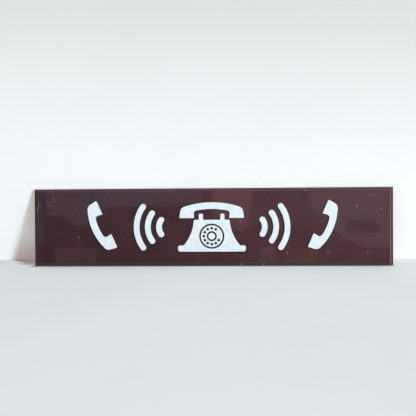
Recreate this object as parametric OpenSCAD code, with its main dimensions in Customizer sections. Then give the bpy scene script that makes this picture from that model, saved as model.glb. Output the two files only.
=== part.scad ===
// Telephone sign: a glossy bevelled acrylic plate with white cut-out symbols bonded to its face.
// The sign hangs upright. X runs along it, Z is up and the face looks towards -Y.
// The origin is the centre of the back face.

/* [Plate] */
// Length of the plate
plate_w = 700; // [560:1:1000]
// Height of the plate
plate_h = 151; // [125:1:220]
// Thickness of the plate
plate_t = 8; // [6:0.5:12]
// Width of the bevel round the face
bevel_w = 5.4; // [3:0.1:8]
// Depth of the bevel, from the face back
bevel_d = 3; // [1:0.1:4.5]
// Radius where the face turns into the bevel
shoulder_r = 2.5; // [1:0.1:3]
// Radius that takes the sharpness off the side edges
arris_r = 0.5; // [0.2:0.1:0.6]

/* [Cut-outs] */
// Thickness of the white sheet that the symbols are cut from
cut_t = 3; // [1.5:0.5:5]
// Gap between cut-outs that sit close to each other
cut_gap = 3.4; // [2:0.1:5]
// Distance between the middles of the two end receivers
row_span = 440; // [420:1:470]

/* [Telephone body] */
// Width of the foot
foot_w = 132; // [120:1:150]
// Height of the foot
foot_h = 12; // [8:0.5:14]
// Width of the body where it leaves the foot
body_low_w = 110; // [100:1:118]
// Width of the body at its top
body_top_w = 70; // [64:1:80]
// Height of the body, foot included
body_h = 62; // [60:0.5:70]
// Radius of the hollow curve of each flank
flank_r = 80; // [60:1:160]
// Distance between the cradle's two prongs, centre to centre
prong_span = 42; // [34:1:44]
// Width of a cradle prong
prong_w = 8; // [5:0.5:9]
// Height of a cradle prong over the body
prong_h = 12; // [8:0.5:13]

/* [Dial] */
// Radius of the opening for the dial
dial_open_r = 24.5; // [21:0.5:27]
// Height of the dial's centre over the bottom of the foot
dial_lift = 30; // [29:0.5:33]
// Radius of the disc at the dial's centre
hub_r = 6.5; // [4:0.5:8]
// Radius of a finger hole
finger_r = 2.7; // [1.5:0.1:3]
// Number of finger holes
finger_count = 10; // [6:1:10]

/* [Receivers] */
// Length of the receiver on the telephone
cradled_len = 126; // [116:1:140]
// Length of the receiver at each end of the row
end_len = 100; // [84:1:106]
// Tilt of the end receivers from upright, in degrees
end_tilt = 24; // [0:1:40]
// Height of a receiver, from the faces of its cups to the top of its grip
receiver_h = 30.6; // [28:0.2:34]
// Thickness of the grip
grip_t = 13; // [10:0.5:15]
// Width of a cup across its face
cup_w = 29; // [24:0.5:32]
// Lean of a cup's sides, in degrees
cup_lean = 8; // [0:1:12]
// Fall of the grip's back from its middle to its ends
grip_bow = 12; // [6:0.5:14]

/* [Ringing arcs] */
// Number of arcs on each side
wave_count = 3; // [1:1:3]
// Gap between the telephone's foot and the nearest arc
wave_offset = 27; // [20:1:30]
// Radius of the smallest arc, to the middle of its stroke
wave_r = 24; // [18:1:26]
// Distance from one arc to the next
wave_pitch = 22; // [18:0.5:25]
// Width of an arc's stroke
wave_stroke = 11; // [8:0.5:13]
// Angle of an arc from its middle to its end, in degrees
wave_angle = 36; // [25:1:45]

/* [Hidden] */
SIDES = ["left", "right"];
$fn = 96;

burgundy = [0.24, 0.13, 0.16];
white = [0.93, 0.95, 0.97];

// Extra length that lets a cutting shape run past the face it cuts
over = 1;
// Extra radius of a rounded corner, so that its rim crosses the sides and doesn't just touch them
bite = 0.002;
// Angle from one finger hole to the next, and of the first hole
finger_step = 30;
first_finger = 60;
// Radii of the corners: foot, body's top, cup faces, back of the grip and hollow of the grip
foot_r = 4;
body_r = 5;
cup_r = 2;
back_r = 11;
hollow_r = 6;

phone_h = body_h + cut_gap + receiver_h;
foot_z = -phone_h / 2;
foot_top = foot_z + foot_h;
body_top = foot_z + body_h;
dial_z = foot_z + dial_lift;
ring_r = dial_open_r - cut_gap;
ring_hole_r = hub_r + cut_gap;
finger_pitch_r = (ring_r + ring_hole_r) / 2;
wave_x = foot_w / 2 + wave_offset + wave_stroke / 2 - wave_r * cos(wave_angle);

function unit(v) = v / norm(v);

// Half the angle at corner p between its neighbours a and b
function half_corner(p, a, b) = acos(unit(a - p) * unit(b - p)) / 2;

// What a corner p loses when it is rounded by radius r; a and b are its neighbours
module corner_loss(p, a, b, r) {
  half = half_corner(p, a, b);
  centre = p + unit(unit(a - p) + unit(b - p)) * r / sin(half);
  touch = r / tan(half);
  difference() {
    polygon([p + unit(a - p) * touch, p + unit(p - centre) * over, p + unit(b - p) * touch, centre]);
    translate(centre) circle(r + bite);
  }
}

// Convex polygon whose corners are rounded, each by its own radius
module rounded(points, radii) {
  n = len(points);
  difference() {
    polygon(points);
    for (i = [0:n - 1])
      if (radii[i] > 0) corner_loss(points[i], points[(i + n - 1) % n], points[(i + 1) % n], radii[i]);
  }
}

// Symmetrical four-sided outline from height low to height top
module rounded_block(low_w, top_w, low, top, low_r, top_r) {
  rounded(
    [[-low_w / 2, low], [low_w / 2, low], [top_w / 2, top], [-top_w / 2, top]],
    [low_r, low_r, top_r, top_r]
  );
}

// The outline in x and z, cut from the white sheet and laid on the plate's face
module cut_out() {
  color(white)
    translate([0, -plate_t, 0]) rotate([90, 0, 0])
      linear_extrude(cut_t) children();
}

// A right-hand outline, or its mirror image on the left
module on_side(side) {
  if (side == "left") mirror([1, 0]) children();
  else children();
}

// Section of the plate across a span: flat at the back, bevelled at both edges of the face
module plate_section(span) {
  edge = span / 2;
  side_top = plate_t - bevel_d;
  rounded(
    [
      [-edge, 0], [edge, 0], [edge, side_top],
      [edge - bevel_w, plate_t], [bevel_w - edge, plate_t], [-edge, side_top]
    ],
    [arris_r, arris_r, arris_r, shoulder_r, shoulder_r, arris_r]
  );
}

// Bar with that section, its face towards -Y, a little longer than the plate
module plate_bar(span, length) {
  linear_extrude(length + 2 * over, center = true) mirror([0, 1]) plate_section(span);
}

module plate() {
  color(burgundy)
    intersection() {
      plate_bar(plate_w, plate_h);
      rotate([0, 90, 0]) plate_bar(plate_h, plate_w);
    }
}

// Foot of the telephone, and its waisted body with hollow flanks
module waisted_body() {
  low = [body_low_w / 2, foot_top];
  high = [body_top_w / 2, body_top];
  half_chord = norm(high - low) / 2;
  outward = unit([high.y - low.y, low.x - high.x]);
  flank = (low + high) / 2 + outward * sqrt(flank_r * flank_r - half_chord * half_chord);
  rounded_block(foot_w, foot_w, foot_z, foot_top, foot_r, foot_r);
  difference() {
    rounded_block(body_low_w + 2 * over, body_top_w, foot_top - over, body_top, 0, body_r);
    for (mirrored = [0, 1])
      mirror([mirrored, 0]) translate(flank) circle(flank_r);
  }
}

module cradle_prong() {
  rounded_block(prong_w, prong_w, body_top - over, body_top + prong_h, 0, prong_w / 3);
}

module telephone_body() {
  cut_out()
    difference() {
      union() {
        waisted_body();
        for (x = [-prong_span / 2, prong_span / 2])
          translate([x, 0]) cradle_prong();
      }
      translate([0, dial_z]) circle(dial_open_r);
    }
}

// Block whose sides lean in by lean degrees from its width at height 0, under a bowed top.
// The bow is a circle about [0, bow_z] and meets the sides in arcs of radius corner_r.
module bowed_block(width, lean, low, low_r, bow_z, bow_r, corner_r) {
  normal = [cos(lean), sin(lean)];
  up = [-sin(lean), cos(lean)];
  reach = width / 2 * cos(lean) - corner_r - bow_z * sin(lean);
  climb = sqrt(pow(bow_r - corner_r, 2) - reach * reach);
  from_bow = reach * normal + climb * up;
  corner = [0, bow_z] + from_bow;
  side_end = corner + normal * corner_r;
  bow_end = [0, bow_z] + unit(from_bow) * bow_r;
  foot = [width / 2 - low * tan(lean), low];
  flip = [[-1, 0], [0, 1]];
  rounded(
    [flip * foot, foot, side_end, bow_end, flip * bow_end, flip * side_end],
    [low_r, low_r, 0, 0, 0, 0]
  );
  for (centre = [corner, flip * corner])
    translate(centre) circle(corner_r + bite);
  intersection() {
    translate([0, bow_z]) circle(bow_r);
    translate([-bow_end.x, bow_end.y]) square([2 * bow_end.x, bow_r]);
  }
}

// Receiver from the side, lying down: bowed grip and a cup at each end, cup faces at height 0
module receiver_outline(length) {
  bow_r = (pow(length / 2, 2) + pow(grip_bow, 2)) / (2 * grip_bow);
  bow_z = receiver_h - bow_r;
  difference() {
    bowed_block(length, cup_lean, 0, cup_r, bow_z, bow_r, back_r);
    bowed_block(length - 2 * cup_w, -cup_lean, -over, 0, bow_z, bow_r - grip_t, hollow_r);
  }
}

module telephone_receiver() {
  cut_out() translate([0, body_top + cut_gap]) receiver_outline(cradled_len);
}

// Receiver at an end of the row, its cups turned up and towards the telephone
module end_receiver(side) {
  cut_out() on_side(side)
    translate([row_span / 2, 0]) rotate(-90 - end_tilt)
      translate([0, -receiver_h / 2]) receiver_outline(end_len);
}

module dial_ring() {
  cut_out() translate([0, dial_z])
    difference() {
      circle(ring_r);
      circle(ring_hole_r);
      for (i = [0:finger_count - 1])
        rotate(first_finger + i * finger_step) translate([finger_pitch_r, 0]) circle(finger_r);
    }
}

module dial_hub() {
  cut_out() translate([0, dial_z]) circle(hub_r);
}

// Ringing arc number i from the telephone: a stroke bent round wave_x, with round ends
module wave(side, i) {
  r = wave_r + (i - 1) * wave_pitch;
  far = 2 * (r + wave_stroke);
  ends = [for (a = [-wave_angle, wave_angle]) [cos(a), sin(a)]];
  cut_out() on_side(side) translate([wave_x, 0]) {
    intersection() {
      difference() {
        circle(r + wave_stroke / 2);
        circle(r - wave_stroke / 2);
      }
      polygon([[0, 0], far * ends[0], far * ends[1]]);
    }
    for (end = ends)
      translate(r * end) circle(wave_stroke / 2 + bite);
  }
}

plate();
telephone_body();
telephone_receiver();
dial_ring();
dial_hub();
for (side = SIDES) {
  end_receiver(side);
  for (i = [1:wave_count])
    wave(side, i);
}
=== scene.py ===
"""Telephone sign: a glossy burgundy acrylic plate with white cut-out symbols bonded to its face.

Lengths are in metres. X runs along the sign, Z is up and the face looks towards -Y.
"""
import math

import bmesh
import bpy
from mathutils import Matrix, Vector


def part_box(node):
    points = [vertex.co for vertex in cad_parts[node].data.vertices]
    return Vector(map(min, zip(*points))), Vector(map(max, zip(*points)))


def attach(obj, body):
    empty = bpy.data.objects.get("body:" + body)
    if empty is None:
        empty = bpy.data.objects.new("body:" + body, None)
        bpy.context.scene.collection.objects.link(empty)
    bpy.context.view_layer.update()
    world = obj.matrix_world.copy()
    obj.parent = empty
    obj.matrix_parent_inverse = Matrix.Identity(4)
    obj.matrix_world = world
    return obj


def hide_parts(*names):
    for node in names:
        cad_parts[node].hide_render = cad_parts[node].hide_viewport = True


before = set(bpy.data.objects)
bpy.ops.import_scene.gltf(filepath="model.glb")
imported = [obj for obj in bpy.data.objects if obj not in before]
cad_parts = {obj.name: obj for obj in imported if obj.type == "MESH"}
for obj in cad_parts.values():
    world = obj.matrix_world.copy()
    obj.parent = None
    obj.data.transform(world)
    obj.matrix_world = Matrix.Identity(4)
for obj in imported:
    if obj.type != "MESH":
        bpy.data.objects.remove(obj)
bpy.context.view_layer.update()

# Camera
# A normal lens 1.7 m in front of the sign, a hand's width right of its middle. It is turned a
# little to the left and hangs slightly askew, which gives the sign its slight convergence.
camera_data = bpy.data.cameras.new("camera")
camera_data.sensor_width = 24
camera_data.lens = 50
camera = bpy.data.objects.new("camera", camera_data)
bpy.context.scene.collection.objects.link(camera)
camera_place = Vector((0.0951, -1.6926, 0.0601))
camera_yaw = math.radians(3.468)
camera_pitch = math.radians(-0.788)
camera_roll = math.radians(-0.402)
camera.matrix_world = (
    Matrix.Translation(camera_place)
    @ Matrix.Rotation(camera_yaw, 4, "Z")
    @ Matrix.Rotation(math.radians(90) + camera_pitch, 4, "X")
    @ Matrix.Rotation(camera_roll, 4, "Z")
)
bpy.context.scene.camera = camera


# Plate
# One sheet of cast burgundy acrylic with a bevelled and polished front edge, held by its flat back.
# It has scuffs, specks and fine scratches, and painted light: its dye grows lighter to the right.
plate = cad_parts["plate"]
plate_low, plate_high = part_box("plate")


def add_node(tree, kind, sockets=None, **settings):
    """A new shader node. A socket's value is a plain value, or the output that feeds it."""
    made = tree.nodes.new("ShaderNode" + kind)
    for name, value in settings.items():
        setattr(made, name, value)
    for name, value in (sockets or {}).items():
        if isinstance(value, bpy.types.NodeSocket):
            tree.links.new(value, made.inputs[name])
        else:
            made.inputs[name].default_value = value
    return made


def calc(tree, operation, *values):
    """A sum, product or other small calculation on one or two values."""
    return add_node(tree, "Math", dict(enumerate(values)), operation=operation).outputs[0]


def times(tree, product, *factors):
    """The product of all the values."""
    for factor in factors:
        product = calc(tree, "MULTIPLY", product, factor)
    return product


def total(tree, result, *values):
    """The sum of all the values."""
    for value in values:
        result = calc(tree, "ADD", result, value)
    return result


def grade(tree, value, low, high, at_low=0.0, at_high=1.0):
    """A smooth change from at_low to at_high, while value goes from low to high."""
    sockets = {"Value": value, "From Min": low, "From Max": high}
    sockets.update({"To Min": at_low, "To Max": at_high})
    return add_node(tree, "MapRange", sockets, interpolation_type="SMOOTHSTEP").outputs[0]


def mix_colours(tree, share, first, second, blend="MIX"):
    """The first colour, with a share of the second mixed in."""
    made = add_node(tree, "Mix", {"Factor": share}, data_type="RGBA", blend_type=blend)
    for socket, value in ((made.inputs[6], first), (made.inputs[7], second)):
        if isinstance(value, bpy.types.NodeSocket):
            tree.links.new(value, socket)
        else:
            socket.default_value = (*value, 1)
    return made.outputs[2]


def noise(tree, place, scale, detail=2.0, stretch=(1, 1, 1), turn=0.0):
    """Random mottling, scale being its lumps per metre; stretch draws it out and turn tilts it."""
    sockets = {"Vector": place, "Scale": stretch, "Rotation": (0, turn, 0)}
    mapped = add_node(tree, "Mapping", sockets).outputs[0]
    sockets = {"Vector": mapped, "Scale": scale, "Detail": detail}
    return add_node(tree, "TexNoise", sockets).outputs[0]


def spot(tree, place, x, z, half_w, half_h, soft=0.5):
    """1 inside an ellipse round (x, z) on the sign's face, falling to 0 over its soft rim."""
    centre = (-x / half_w, 0, -z / half_h)
    squeeze = (1 / half_w, 0, 1 / half_h)
    sockets = {"Vector": place, "Location": centre, "Scale": squeeze}
    mapped = add_node(tree, "Mapping", sockets).outputs[0]
    reach = add_node(tree, "VectorMath", {0: mapped}, operation="LENGTH").outputs["Value"]
    return grade(tree, reach, 1 - soft, 1, 1, 0)


def spots(tree, place, patches, soft=0.5):
    """The strongest of many spots, each given as (x, z, half width, half height, strength)."""
    strongest = 0.0
    for x, z, half_w, half_h, strength in patches:
        patch = times(tree, spot(tree, place, x, z, half_w, half_h, soft), strength)
        strongest = calc(tree, "MAXIMUM", strongest, patch)
    return strongest


def specks(tree, place, scale, bare_share):
    """Tiny round specks, scale being their cells per metre. The bare share of cells has none."""
    cells = add_node(tree, "TexVoronoi", {"Vector": place, "Scale": scale, "Randomness": 1.0})
    near = grade(tree, cells.outputs["Distance"], 0.02, 0.05, 1, 0)
    chosen = add_node(tree, "SeparateColor", {0: cells.outputs["Color"]}).outputs[0]
    return times(tree, near, grade(tree, chosen, bare_share, bare_share + 0.04))


def relief(tree, height, strength, distance, under=None):
    """A bump that rises by the distance where the height is 1, over any relief under it."""
    sockets = {"Height": height, "Strength": strength, "Distance": distance}
    if under is not None:
        sockets["Normal"] = under
    return add_node(tree, "Bump", sockets).outputs[0]


def sawn_sides(tree, facing):
    """1 on the sides of a sheet and 0 on its face and back; facing is the normal's y."""
    return grade(tree, calc(tree, "ABSOLUTE", facing), 0.25, 0.45, 1, 0)


def new_material(name):
    """A material with an empty tree, its surface shader and the object's own coordinates."""
    material = bpy.data.materials.new(name)
    material.use_nodes = True
    tree = material.node_tree
    tree.nodes.clear()
    surface = add_node(tree, "BsdfPrincipled")
    add_node(tree, "OutputMaterial", {"Surface": surface.outputs[0]})
    return material, tree, surface, add_node(tree, "TexCoord").outputs


acrylic_ior = 1.49
bevel_width = 0.0054


def burgundy_acrylic():
    """Polished dark acrylic with sawn sides, its front scuffed, with painted light in its dye."""
    material, tree, surface, coordinates = new_material("burgundy_acrylic_gloss")
    place = coordinates["Object"]
    along, depth, height = add_node(tree, "SeparateXYZ", {0: place}).outputs
    facing = add_node(tree, "SeparateXYZ", {0: coordinates["Normal"]}).outputs[1]
    mid_sheet = (plate_low.y + plate_high.y) / 2
    front = grade(tree, depth, mid_sheet - 0.0005, mid_sheet + 0.0005, 1, 0)

    # The dye: darker at the left and lighter at the right, a painted gradient of light shining
    # through the sheet, with a painted rosy glow right of the middle
    deep = (0.034, 0.0135, 0.0180)
    dye_lit_right = (0.064, 0.0245, 0.0320)
    painted_light_gradient = grade(tree, along, -0.42, 0.42)
    clouds = grade(tree, noise(tree, place, 14, 3), 0.3, 0.7, -0.16, 0.16)
    painted_rosy_glow = times(tree, spot(tree, place, 0.035, 0.055, 0.08, 0.07, 1), 0.60)
    grain = grade(tree, noise(tree, place, 240, 4), 0.3, 0.7, -0.20, 0.20)
    dye = mix_colours(tree, total(tree, painted_light_gradient, clouds, painted_rosy_glow, grain), deep, dye_lit_right)

    # A painted rose highlight along the arris where the face turns into the right bevel, stronger
    # towards the bottom
    painted_rose_highlight = (0.235, 0.100, 0.112)
    line_half_w = 0.0011
    from_arris = calc(tree, "ABSOLUTE", calc(tree, "SUBTRACT", along, plate_high.x - bevel_width))
    line = grade(tree, from_arris, line_half_w * 0.3, line_half_w, 1, 0)
    line_strength = grade(tree, height, plate_high.z, plate_low.z, 0.55, 1)
    dye = mix_colours(tree, times(tree, line, line_strength, front), dye, painted_rose_highlight)

    # Scuffs: patches of small pale rubs, at (x, z) with a half width, a half height and a strength
    rubbed = (0.36, 0.28, 0.31)
    scuff_patches = (
        (-0.316, 0.056, 0.014, 0.021, 1.0),
        (-0.342, 0.036, 0.006, 0.022, 1.0),
        (0.310, 0.062, 0.013, 0.009, 1.0),
        (0.322, 0.033, 0.012, 0.013, 1.0),
        (0.281, 0.039, 0.006, 0.005, 1.0),
        (0.300, -0.055, 0.022, 0.012, 0.45),
        (0.222, -0.050, 0.020, 0.008, 0.45),
    )
    rubs = grade(tree, noise(tree, place, 190, 2, (1.4, 1, 0.8)), 0.52, 0.66)
    scuffs = times(tree, rubs, spots(tree, place, scuff_patches, 0.7), front)
    dye = mix_colours(tree, times(tree, scuffs, 0.16), dye, rubbed)

    # Single marks, given in the same way: nicks, a scratch and two chips at the bottom edge
    chipped = (0.80, 0.76, 0.76)
    marks = (
        (0.1825, 0.0700, 0.0013, 0.0011, 0.60),
        (-0.2620, -0.0195, 0.0028, 0.0030, 0.10),
        (0.1460, -0.0510, 0.0009, 0.0056, 0.14),
        (0.0570, -0.0728, 0.0026, 0.0013, 0.45),
        (0.1000, -0.0728, 0.0026, 0.0013, 0.45),
    )
    ragged = grade(tree, noise(tree, place, 900, 2), 0.35, 0.6, 0.35, 1)
    nicks = times(tree, spots(tree, place, marks), ragged, front)
    dye = mix_colours(tree, nicks, dye, chipped)

    # Dust: tiny pale specks thinly spread
    dusty = (0.62, 0.60, 0.60)
    dust = specks(tree, place, 95, 0.62)
    dye = mix_colours(tree, times(tree, dust, 0.22), dye, dusty)

    # Hairlines: long thin scratches from wiping, in two directions
    wiped = grade(tree, noise(tree, place, 1, 1, (22, 1, 1500), 0.12), 0.69, 0.77)
    crossed = grade(tree, noise(tree, place, 1, 1, (30, 1, 1300), -0.55), 0.72, 0.79)
    hairlines = calc(tree, "MAXIMUM", wiped, crossed)
    dye = mix_colours(tree, times(tree, hairlines, 0.04), dye, rubbed)

    # Sawn sides are a little paler than the polished face
    sawn_dye = (0.11, 0.045, 0.055)
    side = sawn_sides(tree, facing)
    dye = mix_colours(tree, times(tree, side, 0.35), dye, sawn_dye)
    tree.links.new(dye, surface.inputs["Base Color"])

    # Gloss: polished front, scuffed here and there, with satin sides and a duller back
    back = grade(tree, facing, 0.6, 0.9)
    smears = grade(tree, noise(tree, place, 26, 4), 0.35, 0.75, 0.02, 0.06)
    wear = total(tree, times(tree, scuffs, 0.30), times(tree, hairlines, 0.16))
    roughness = total(tree, smears, wear, times(tree, side, 0.30), times(tree, back, 0.14))
    tree.links.new(roughness, surface.inputs["Roughness"])
    surface.inputs["IOR"].default_value = acrylic_ior

    # Relief: a faint bow in the sheet, saw marks on its sides, and the scratches
    bow = relief(tree, noise(tree, place, 11, 1), 1.0, 0.00006)
    sawn = times(tree, noise(tree, place, 1, 2, (900, 40, 900)), side)
    saw_marks = relief(tree, sawn, 1.0, 0.00005, bow)
    scratches = relief(tree, total(tree, scuffs, hairlines), 0.6, -0.00002, saw_marks)
    tree.links.new(scratches, surface.inputs["Normal"])
    return material


plate.material_slots[0].material = burgundy_acrylic()


# White cut-outs
# Symbols sawn from 3 mm opal white acrylic and bonded to the plate's face. Their rims have the
# small arris that is left when the saw burr is scraped off, and their sides keep fine saw marks.
cut_out_nodes = [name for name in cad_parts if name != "plate"]


def white_acrylic():
    """Opal white acrylic with a satin face, a few specks, painted shade at its foot, and sawn
    sides.
    """
    material, tree, surface, coordinates = new_material("white_acrylic_satin")
    place = coordinates["Object"]
    depth = add_node(tree, "SeparateXYZ", {0: place}).outputs[1]
    facing = add_node(tree, "SeparateXYZ", {0: coordinates["Normal"]}).outputs[1]

    # The sheet's cool white, a touch uneven, with specks, and painted shade where the sides meet
    # the plate
    clean = (0.732, 0.805, 0.872)
    aged = (0.655, 0.727, 0.785)
    crease_shade_grey = (0.33, 0.31, 0.32)
    speckled = (0.42, 0.40, 0.40)
    crease_shade_reach = 0.0005
    mottling = grade(tree, noise(tree, place, 140, 6), 0.35, 0.65)
    white = mix_colours(tree, mottling, clean, aged)
    painted_crease_shade = grade(tree, depth, plate_low.y - crease_shade_reach, plate_low.y, 0, 0.55)
    white = mix_colours(tree, painted_crease_shade, white, crease_shade_grey)
    dust = specks(tree, place, 130, 0.72)
    white = mix_colours(tree, times(tree, dust, 0.30), white, speckled)
    tree.links.new(white, surface.inputs["Base Color"])

    # Satin face, duller sides
    side = sawn_sides(tree, facing)
    wiped = grade(tree, noise(tree, place, 1, 2, (60, 1, 900), 0.3), 0.6, 0.75)
    satin = grade(tree, noise(tree, place, 40, 3), 0.3, 0.7, 0.20, 0.28)
    roughness = total(tree, satin, times(tree, wiped, 0.10), times(tree, side, 0.28))
    tree.links.new(roughness, surface.inputs["Roughness"])
    surface.inputs["IOR"].default_value = acrylic_ior

    # Relief: the sheet's faint orange peel, and the saw marks across the sides
    peel = relief(tree, noise(tree, place, 260, 2), 0.5, 0.00002)
    sawn = times(tree, noise(tree, place, 1, 2, (1400, 60, 1400)), side)
    saw_marks = relief(tree, sawn, 1.0, 0.00005, peel)
    tree.links.new(saw_marks, surface.inputs["Normal"])
    return material


def scraped_copy(name, material):
    """The cut-out as in the frame, its front rim broken by a small arris."""
    arris = 0.0003
    same_place = 1e-6
    flat_angle = math.radians(0.2)
    rim_angle = math.radians(60)
    shading_angle = math.radians(32)
    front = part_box(name)[0].y
    shape = bmesh.new()
    shape.from_mesh(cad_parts[name].data)
    bmesh.ops.remove_doubles(shape, verts=shape.verts, dist=same_place)
    bmesh.ops.dissolve_limit(shape, angle_limit=flat_angle, verts=shape.verts, edges=shape.edges)
    rim = [
        edge
        for edge in shape.edges
        if all(abs(end.co.y - front) < same_place for end in edge.verts)
        and edge.calc_face_angle(0) > rim_angle
    ]
    bmesh.ops.bevel(
        shape, geom=rim, affect="EDGES", offset=arris, segments=2, profile=0.5, material=-1
    )
    for face in shape.faces:
        face.smooth = abs(face.normal.y) < 0.99
    for edge in shape.edges:
        edge.smooth = edge.calc_face_angle(0) < shading_angle
    mesh = bpy.data.meshes.new("cut_" + name)
    shape.to_mesh(mesh)
    shape.free()
    if "custom_normal" in mesh.attributes:
        mesh.attributes.remove(mesh.attributes["custom_normal"])
    mesh.materials.clear()
    mesh.materials.append(material)
    piece = bpy.data.objects.new("cut_" + name, mesh)
    bpy.context.scene.collection.objects.link(piece)
    return piece


cut_out_white = white_acrylic()
for node_name in cut_out_nodes:
    cut_out = scraped_copy(node_name, cut_out_white)
    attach(cut_out, "root")
    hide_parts(node_name)


# Floor and wall
# The sign stands on a pale painted floor and leans on a pale wall. Here it is upright, so the wall
# leans instead, from the top of the plate's back. It is seen from the front only.
floor_reach = 7.0
wall_lean = math.radians(20.5)
wall_height = 0.9
wall_clearance = 0.0004
floor_white = (0.82, 0.895, 0.92)
wall_white = (0.768, 0.772, 0.785)
wall_shaded_grey = (0.528, 0.54, 0.53)
strip_left = (0.645, 0.680, 0.701)
strip_right = (0.776, 0.815, 0.815)
strip_rise = 0.0082
foot_shade_near = 0.003
foot_shade_far = 0.028
foot_shade = (0.05, 0.04, 0.04)
room_white = (0.88, 0.91, 0.92)
lamp_azimuth = math.radians(46)


def painted(name, colour):
    """Matt paint, a touch uneven."""
    dulled = tuple(0.965 * channel for channel in colour)
    fleck_grey = (0.40, 0.40, 0.40)
    material, tree, surface, coordinates = new_material(name)
    place = coordinates["Object"]
    mottling = grade(tree, noise(tree, place, 5, 5, (1, 0.5, 1)), 0.3, 0.7)
    paint = mix_colours(tree, mottling, colour, dulled)
    flecks = grade(tree, noise(tree, place, 60, 3), 0.66, 0.76, 0, 0.05)
    paint = mix_colours(tree, flecks, paint, fleck_grey)
    tree.links.new(paint, surface.inputs["Base Color"])
    surface.inputs["Roughness"].default_value = 0.8
    surface.inputs["Specular IOR Level"].default_value = 0.1
    return material, tree, surface, place, paint


def floor_paint():
    """Pale floor paint, lighter by the wall at both sides of the sign, and shaded at its foot."""
    material, tree, surface, place, paint = painted("floor_paint", floor_white)
    along, depth, _ = add_node(tree, "SeparateXYZ", {0: place}).outputs

    # The thin soft shade that the sign's foot leaves in front of it
    shade = times(
        tree,
        grade(tree, depth, plate_low.y - foot_shade_far, plate_low.y - foot_shade_near),
        grade(tree, along, plate_high.x - 0.010, plate_high.x + 0.004, 0.95, 0),
        grade(tree, along, plate_low.x - 0.010, plate_low.x),
        grade(tree, depth, plate_low.y, plate_high.y, 1, 0),
    )
    shaded = mix_colours(tree, shade, paint, foot_shade)

    # The wall's light on the floor, stronger at the right
    brightening = (1.075, 1.07, 1.06)
    by_wall = times(
        tree,
        grade(tree, depth, -0.60, -0.10),
        grade(tree, calc(tree, "ABSOLUTE", along), 0.30, 0.37),
        grade(tree, along, -0.1, 0.1, 0.35, 1),
    )
    shaded = mix_colours(tree, by_wall, shaded, brightening, "MULTIPLY")
    tree.links.new(shaded, surface.inputs["Base Color"])

    # Far from the sign the camera sees the plain colour of the room, so the floor has no horizon
    ray = add_node(tree, "LightPath").outputs
    away = add_node(tree, "VectorMath", {0: place}, operation="LENGTH").outputs["Value"]
    plain = times(tree, grade(tree, away, 1.3, 2.4), ray["Is Camera Ray"])
    room = add_node(tree, "Emission", {"Color": (*room_white, 1)}).outputs[0]
    shown = add_node(tree, "MixShader", {0: plain, 1: surface.outputs[0], 2: room}).outputs[0]
    tree.links.new(shown, tree.nodes["Material Output"].inputs["Surface"])
    return material


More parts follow.
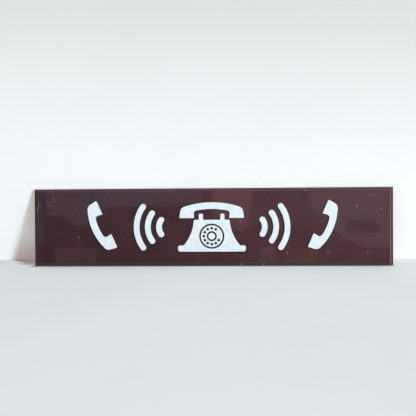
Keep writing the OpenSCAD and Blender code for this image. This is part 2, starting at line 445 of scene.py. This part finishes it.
def wall_paint():
    """Pale wall paint, with painted shade darker higher up and on the right, and a painted rose
    tint and shade in the sign's shadow.

    The real sign leans back, so as seen from it the floor rises a little towards the wall. The
    wall's lowest strip stands in for that: it glows in the floor's colours, with the shadow on it.
    """
    material, tree, surface, place, paint = painted("wall_paint", wall_white)
    along, depth, height = add_node(tree, "SeparateXYZ", {0: place}).outputs
    over_floor = calc(tree, "SUBTRACT", height, plate_low.z)
    # Painted shade: the wall grows darker higher up and to the right, as the room's light falls off
    painted_falloff_shade = grade(tree, total(tree, height, times(tree, along, 0.15)), 0.03, 0.55)
    paint = mix_colours(tree, painted_falloff_shade, paint, wall_shaded_grey)

    # A painted rose tint, and painted shade deeper towards the foot, inside the sign's shadow,
    # which reaches past its left end as far as the lamp stands to the right
    shadow_rose = (0.80, 0.75, 0.755)
    shadow_foot = (0.36, 0.15, 0.14)
    from_end = calc(tree, "SUBTRACT", along, plate_low.x)
    drift = times(tree, calc(tree, "SUBTRACT", depth, plate_low.y), math.tan(lamp_azimuth))
    beside_sign = grade(tree, along, plate_low.x + 0.005, plate_low.x + 0.025, 1, 0)
    shadow = times(
        tree,
        grade(tree, total(tree, from_end, drift), -0.006, 0.012),
        beside_sign,
        grade(tree, height, plate_high.z - 0.004, plate_high.z + 0.002, 1, 0),
    )
    paint = mix_colours(tree, shadow, paint, shadow_rose)
    painted_shadow_deepening = grade(tree, over_floor, strip_rise, strip_rise + 0.06, 0.62, 0)
    paint = mix_colours(tree, times(tree, painted_shadow_deepening, shadow), paint, shadow_foot)
    tree.links.new(paint, surface.inputs["Base Color"])

    # The room's light on the wall, and a stripe along the sign's top edge that stays light
    beside = calc(tree, "ABSOLUTE", along)
    lift = times(
        tree,
        grade(tree, height, plate_high.z, plate_high.z + 0.010, 0.13, 0),
        grade(tree, beside, plate_high.x - 0.004, plate_high.x + 0.002, 1, 0),
        grade(tree, height, plate_high.z - 0.008, plate_high.z - 0.002),
    )
    lift = total(tree, lift, grade(tree, height, 0.02, 0.55, 0.17, 0.11))
    surface.inputs["Emission Color"].default_value = (1, 0.985, 0.98, 1)
    tree.links.new(lift, surface.inputs["Emission Strength"])

    # The strip's painted glow, with a painted shadow and its slanting edge on it
    shaded_strip = (0.305, 0.258, 0.250)
    strip_corner_shade = (0.21, 0.16, 0.16)
    shadow_slope = 3.33
    shadow_end = -0.387
    shadow_blur = 0.010
    glow = mix_colours(tree, grade(tree, along, plate_low.x, plate_high.x), strip_left, strip_right)
    slant = total(tree, along, times(tree, over_floor, shadow_slope))
    slanting = grade(tree, slant, shadow_end - shadow_blur, shadow_end + shadow_blur)
    strip_shadow = times(tree, slanting, beside_sign)
    glow = mix_colours(tree, strip_shadow, glow, shaded_strip)
    # Painted shade: darker along the wall's foot inside the shadow
    by_wall = grade(tree, over_floor, 0.6 * strip_rise, strip_rise, 0, 0.6)
    glow = mix_colours(tree, times(tree, by_wall, strip_shadow), glow, strip_corner_shade)
    strip = add_node(tree, "Emission", {"Color": glow}).outputs[0]
    in_strip = grade(tree, over_floor, strip_rise - 0.0005, strip_rise + 0.0005, 1, 0)
    shown = add_node(tree, "MixShader", {0: in_strip, 1: surface.outputs[0], 2: strip}).outputs[0]

    # Clear from behind, so that the sign's back can be seen
    behind = add_node(tree, "NewGeometry").outputs["Backfacing"]
    clear = add_node(tree, "BsdfTransparent").outputs[0]
    shown = add_node(tree, "MixShader", {0: behind, 1: shown, 2: clear}).outputs[0]
    tree.links.new(shown, tree.nodes["Material Output"].inputs["Surface"])
    return material


def flat_sheet(name, corners, material):
    """One flat face through the corners, which run anticlockwise as seen from its front."""
    shape = bmesh.new()
    shape.faces.new([shape.verts.new(corner) for corner in corners])
    mesh = bpy.data.meshes.new(name)
    shape.to_mesh(mesh)
    shape.free()
    mesh.materials.append(material)
    sheet = bpy.data.objects.new(name, mesh)
    bpy.context.scene.collection.objects.link(sheet)
    return sheet


def hide_from(sheet, *rays):
    """Leaves the sheet out of what those kinds of ray meet."""
    for ray in rays:
        setattr(sheet, "visible_" + ray, False)


floor_corners = [
    Vector((-floor_reach, -floor_reach, plate_low.z)),
    Vector((floor_reach, -floor_reach, plate_low.z)),
    Vector((floor_reach, floor_reach, plate_low.z)),
    Vector((-floor_reach, floor_reach, plate_low.z)),
]
floor = flat_sheet("floor", floor_corners, floor_paint())
hide_from(floor, "glossy")

wall_top = plate_low.z + wall_height
wall_foot_y = wall_clearance + math.tan(wall_lean) * (plate_high.z - plate_low.z)
wall_top_y = wall_foot_y - math.tan(wall_lean) * wall_height
wall_corners = [
    Vector((-floor_reach, wall_foot_y, plate_low.z)),
    Vector((floor_reach, wall_foot_y, plate_low.z)),
    Vector((floor_reach, wall_top_y, wall_top)),
    Vector((-floor_reach, wall_top_y, wall_top)),
]
wall = flat_sheet("wall", wall_corners, wall_paint())
hide_from(wall, "diffuse", "glossy", "transmission", "shadow")


# Room in the gloss
# The plate mirrors the room behind the camera: a dim wall with paler and darker things before it.
# The outlines are given where they show on the plate, and stand a few metres off.
room_distance = 4.0
plate_front = plate_low.y
mirrored_eye = Vector((camera_place.x, 2 * plate_front - camera_place.y, camera_place.z))


def mirrored(x, z, distance):
    """The point at that distance in front of the plate that shows in its gloss at (x, z)."""
    seen = Vector((x, plate_front, z))
    ray = seen - mirrored_eye
    return seen + ray * (distance / -ray.y)


def glowing(name, colour):
    """A plain glow, the same from every side."""
    material = bpy.data.materials.new(name)
    material.use_nodes = True
    tree = material.node_tree
    tree.nodes.clear()
    glow = add_node(tree, "Emission", {"Color": (*colour, 1), "Strength": 1.0})
    add_node(tree, "OutputMaterial", {"Surface": glow.outputs[0]})
    return material


room_things = {
    "room_wall": ((0.27, 0.20, 0.20), [(-0.50, -0.20), (0.50, -0.20), (0.50, 0.20), (-0.50, 0.20)]),
    "upper_wall": ((0.36, 0.37, 0.37), [(0.07, 0.00), (0.22, 0.00), (0.22, 0.12), (0.07, 0.12)]),
    "left_window": (
        (0.70, 0.60, 0.76),
        [(-0.325, 0.025), (-0.295, 0.022), (-0.262, 0.002), (-0.232, 0.006),
         (-0.205, 0.040), (-0.02, 0.045), (-0.02, 0.12), (-0.325, 0.12)],
    ),
    "left_curtain": (
        (0.42, 0.40, 0.52),
        [(-0.45, -0.01), (-0.331, -0.03), (-0.331, 0.12), (-0.45, 0.12)],
    ),
    "dark_post": (
        (0.08, 0.09, 0.10),
        [(-0.332, -0.12), (-0.312, -0.12), (-0.312, -0.034), (-0.332, -0.030)],
    ),
    "low_cupboard": (
        (0.54, 0.42, 0.38),
        [(-0.311, -0.12), (-0.235, -0.12), (-0.225, -0.043), (-0.308, -0.041)],
    ),
    "pale_door": (
        (0.85, 0.55, 0.55),
        [(0.004, -0.005), (0.072, -0.005), (0.088, 0.12), (-0.004, 0.12)],
    ),
    "door_edge": (
        (3.6, 2.1, 2.0),
        [(0.0492, 0.0250), (0.0520, 0.0245), (0.0582, 0.0100),
         (0.0592, -0.0080), (0.0560, -0.0080), (0.0548, 0.0100)],
    ),
    "right_window": (
        (0.70, 0.68, 0.71),
        [(0.250, -0.020), (0.290, -0.040), (0.50, -0.045), (0.50, 0.12),
         (0.189, 0.12), (0.190, 0.045), (0.199, 0.028), (0.214, 0.022)],
    ),
    "shade_in_window": (
        (0.12, 0.27, 0.28),
        [(0.255, -0.012), (0.325, -0.014), (0.318, 0.010), (0.262, 0.012)],
    ),
    "grey_chair": (
        (0.70, 0.60, 0.58),
        [(0.084, -0.12), (0.130, -0.12), (0.122, -0.037), (0.094, -0.040)],
    ),
    "tan_shelf": (
        (0.90, 0.62, 0.34),
        [(0.135, -0.12), (0.177, -0.12), (0.177, -0.061), (0.138, -0.062)],
    ),
    "tan_post": (
        (0.80, 0.52, 0.20),
        [(0.176, -0.12), (0.207, -0.12), (0.207, -0.036), (0.178, -0.042)],
    ),
}
step_nearer = 0.03
room_sheets = {}
for order, (thing_name, (colour, outline)) in enumerate(room_things.items()):
    distance = room_distance - step_nearer * order
    room_sheets[thing_name] = (colour, [mirrored(x, z, distance) for x, z in outline])

# The bevels mirror the side walls, and at the foot the shaded floor just in front of the sign
side_x = 3.0
side_foot = -2.0
side_top = 3.0
left_reach = 5.0
right_reach = 2.0
foot_reach = plate_high.x + 0.01
foot_z = plate_low.z - 0.0001
foot_front = plate_low.y - 0.006
room_sheets["left_wall"] = (
    (0.50, 0.46, 0.50),
    [
        Vector((-side_x, -left_reach, side_foot)),
        Vector((-side_x, -left_reach, side_top)),
        Vector((-side_x, 0, side_top)),
        Vector((-side_x, 0, side_foot)),
    ],
)
room_sheets["right_wall"] = (
    (0.52, 0.46, 0.42),
    [
        Vector((side_x, -right_reach, side_foot)),
        Vector((side_x, -right_reach, side_top)),
        Vector((side_x, 0, side_top)),
        Vector((side_x, 0, side_foot)),
    ],
)
room_sheets["shaded_foot"] = (
    (0.74, 0.63, 0.62),
    [
        Vector((-foot_reach, foot_front, foot_z)),
        Vector((foot_reach, foot_front, foot_z)),
        Vector((foot_reach, 0, foot_z)),
        Vector((-foot_reach, 0, foot_z)),
    ],
)
for sheet_name, (colour, corners) in room_sheets.items():
    thing = flat_sheet(sheet_name, corners, glowing(sheet_name, colour))
    hide_from(thing, "camera", "diffuse", "transmission", "shadow")


# Light
# One soft lamp from the front right, low enough for short shadows to the left, and a pale room
# whose ceiling is brighter than its walls.
lamp_data = bpy.data.lights.new("soft_lamp", "AREA")
lamp_data.shape = "DISK"
lamp_data.size = 2.3
lamp_data.energy = 1240
lamp_data.color = (0.92, 1.0, 0.995)
lamp = bpy.data.objects.new("soft_lamp", lamp_data)
bpy.context.scene.collection.objects.link(lamp)
lamp_elevation = math.radians(20)
lamp_distance = 11.0
lamp_way = Vector((
    math.sin(lamp_azimuth) * math.cos(lamp_elevation),
    -math.cos(lamp_azimuth) * math.cos(lamp_elevation),
    math.sin(lamp_elevation),
))
lamp.location = lamp_distance * lamp_way
lamp.rotation_mode = "QUATERNION"
lamp.rotation_quaternion = (-lamp_way).to_track_quat("-Z", "Y")

world = bpy.data.worlds.new("pale_room")
bpy.context.scene.world = world
world.use_nodes = True
world_tree = world.node_tree
world_tree.nodes.clear()
way = add_node(world_tree, "TexCoord").outputs["Generated"]
upward = add_node(world_tree, "SeparateXYZ", {0: way}).outputs[2]
low_light = (0.100, 0.081, 0.077)
ceiling_light = (0.70, 0.615, 0.61)
dome = mix_colours(world_tree, grade(world_tree, upward, 0, 1), low_light, ceiling_light)
ray = add_node(world_tree, "LightPath").outputs
seen = calc(world_tree, "MAXIMUM", ray["Is Camera Ray"], ray["Is Glossy Ray"])
seen = calc(world_tree, "MAXIMUM", seen, ray["Is Transmission Ray"])
sky = add_node(world_tree, "Background", {"Color": mix_colours(world_tree, seen, dome, room_white)})
add_node(world_tree, "OutputWorld", {"Surface": sky.outputs[0]})

bpy.context.scene.view_settings.view_transform = "Standard"
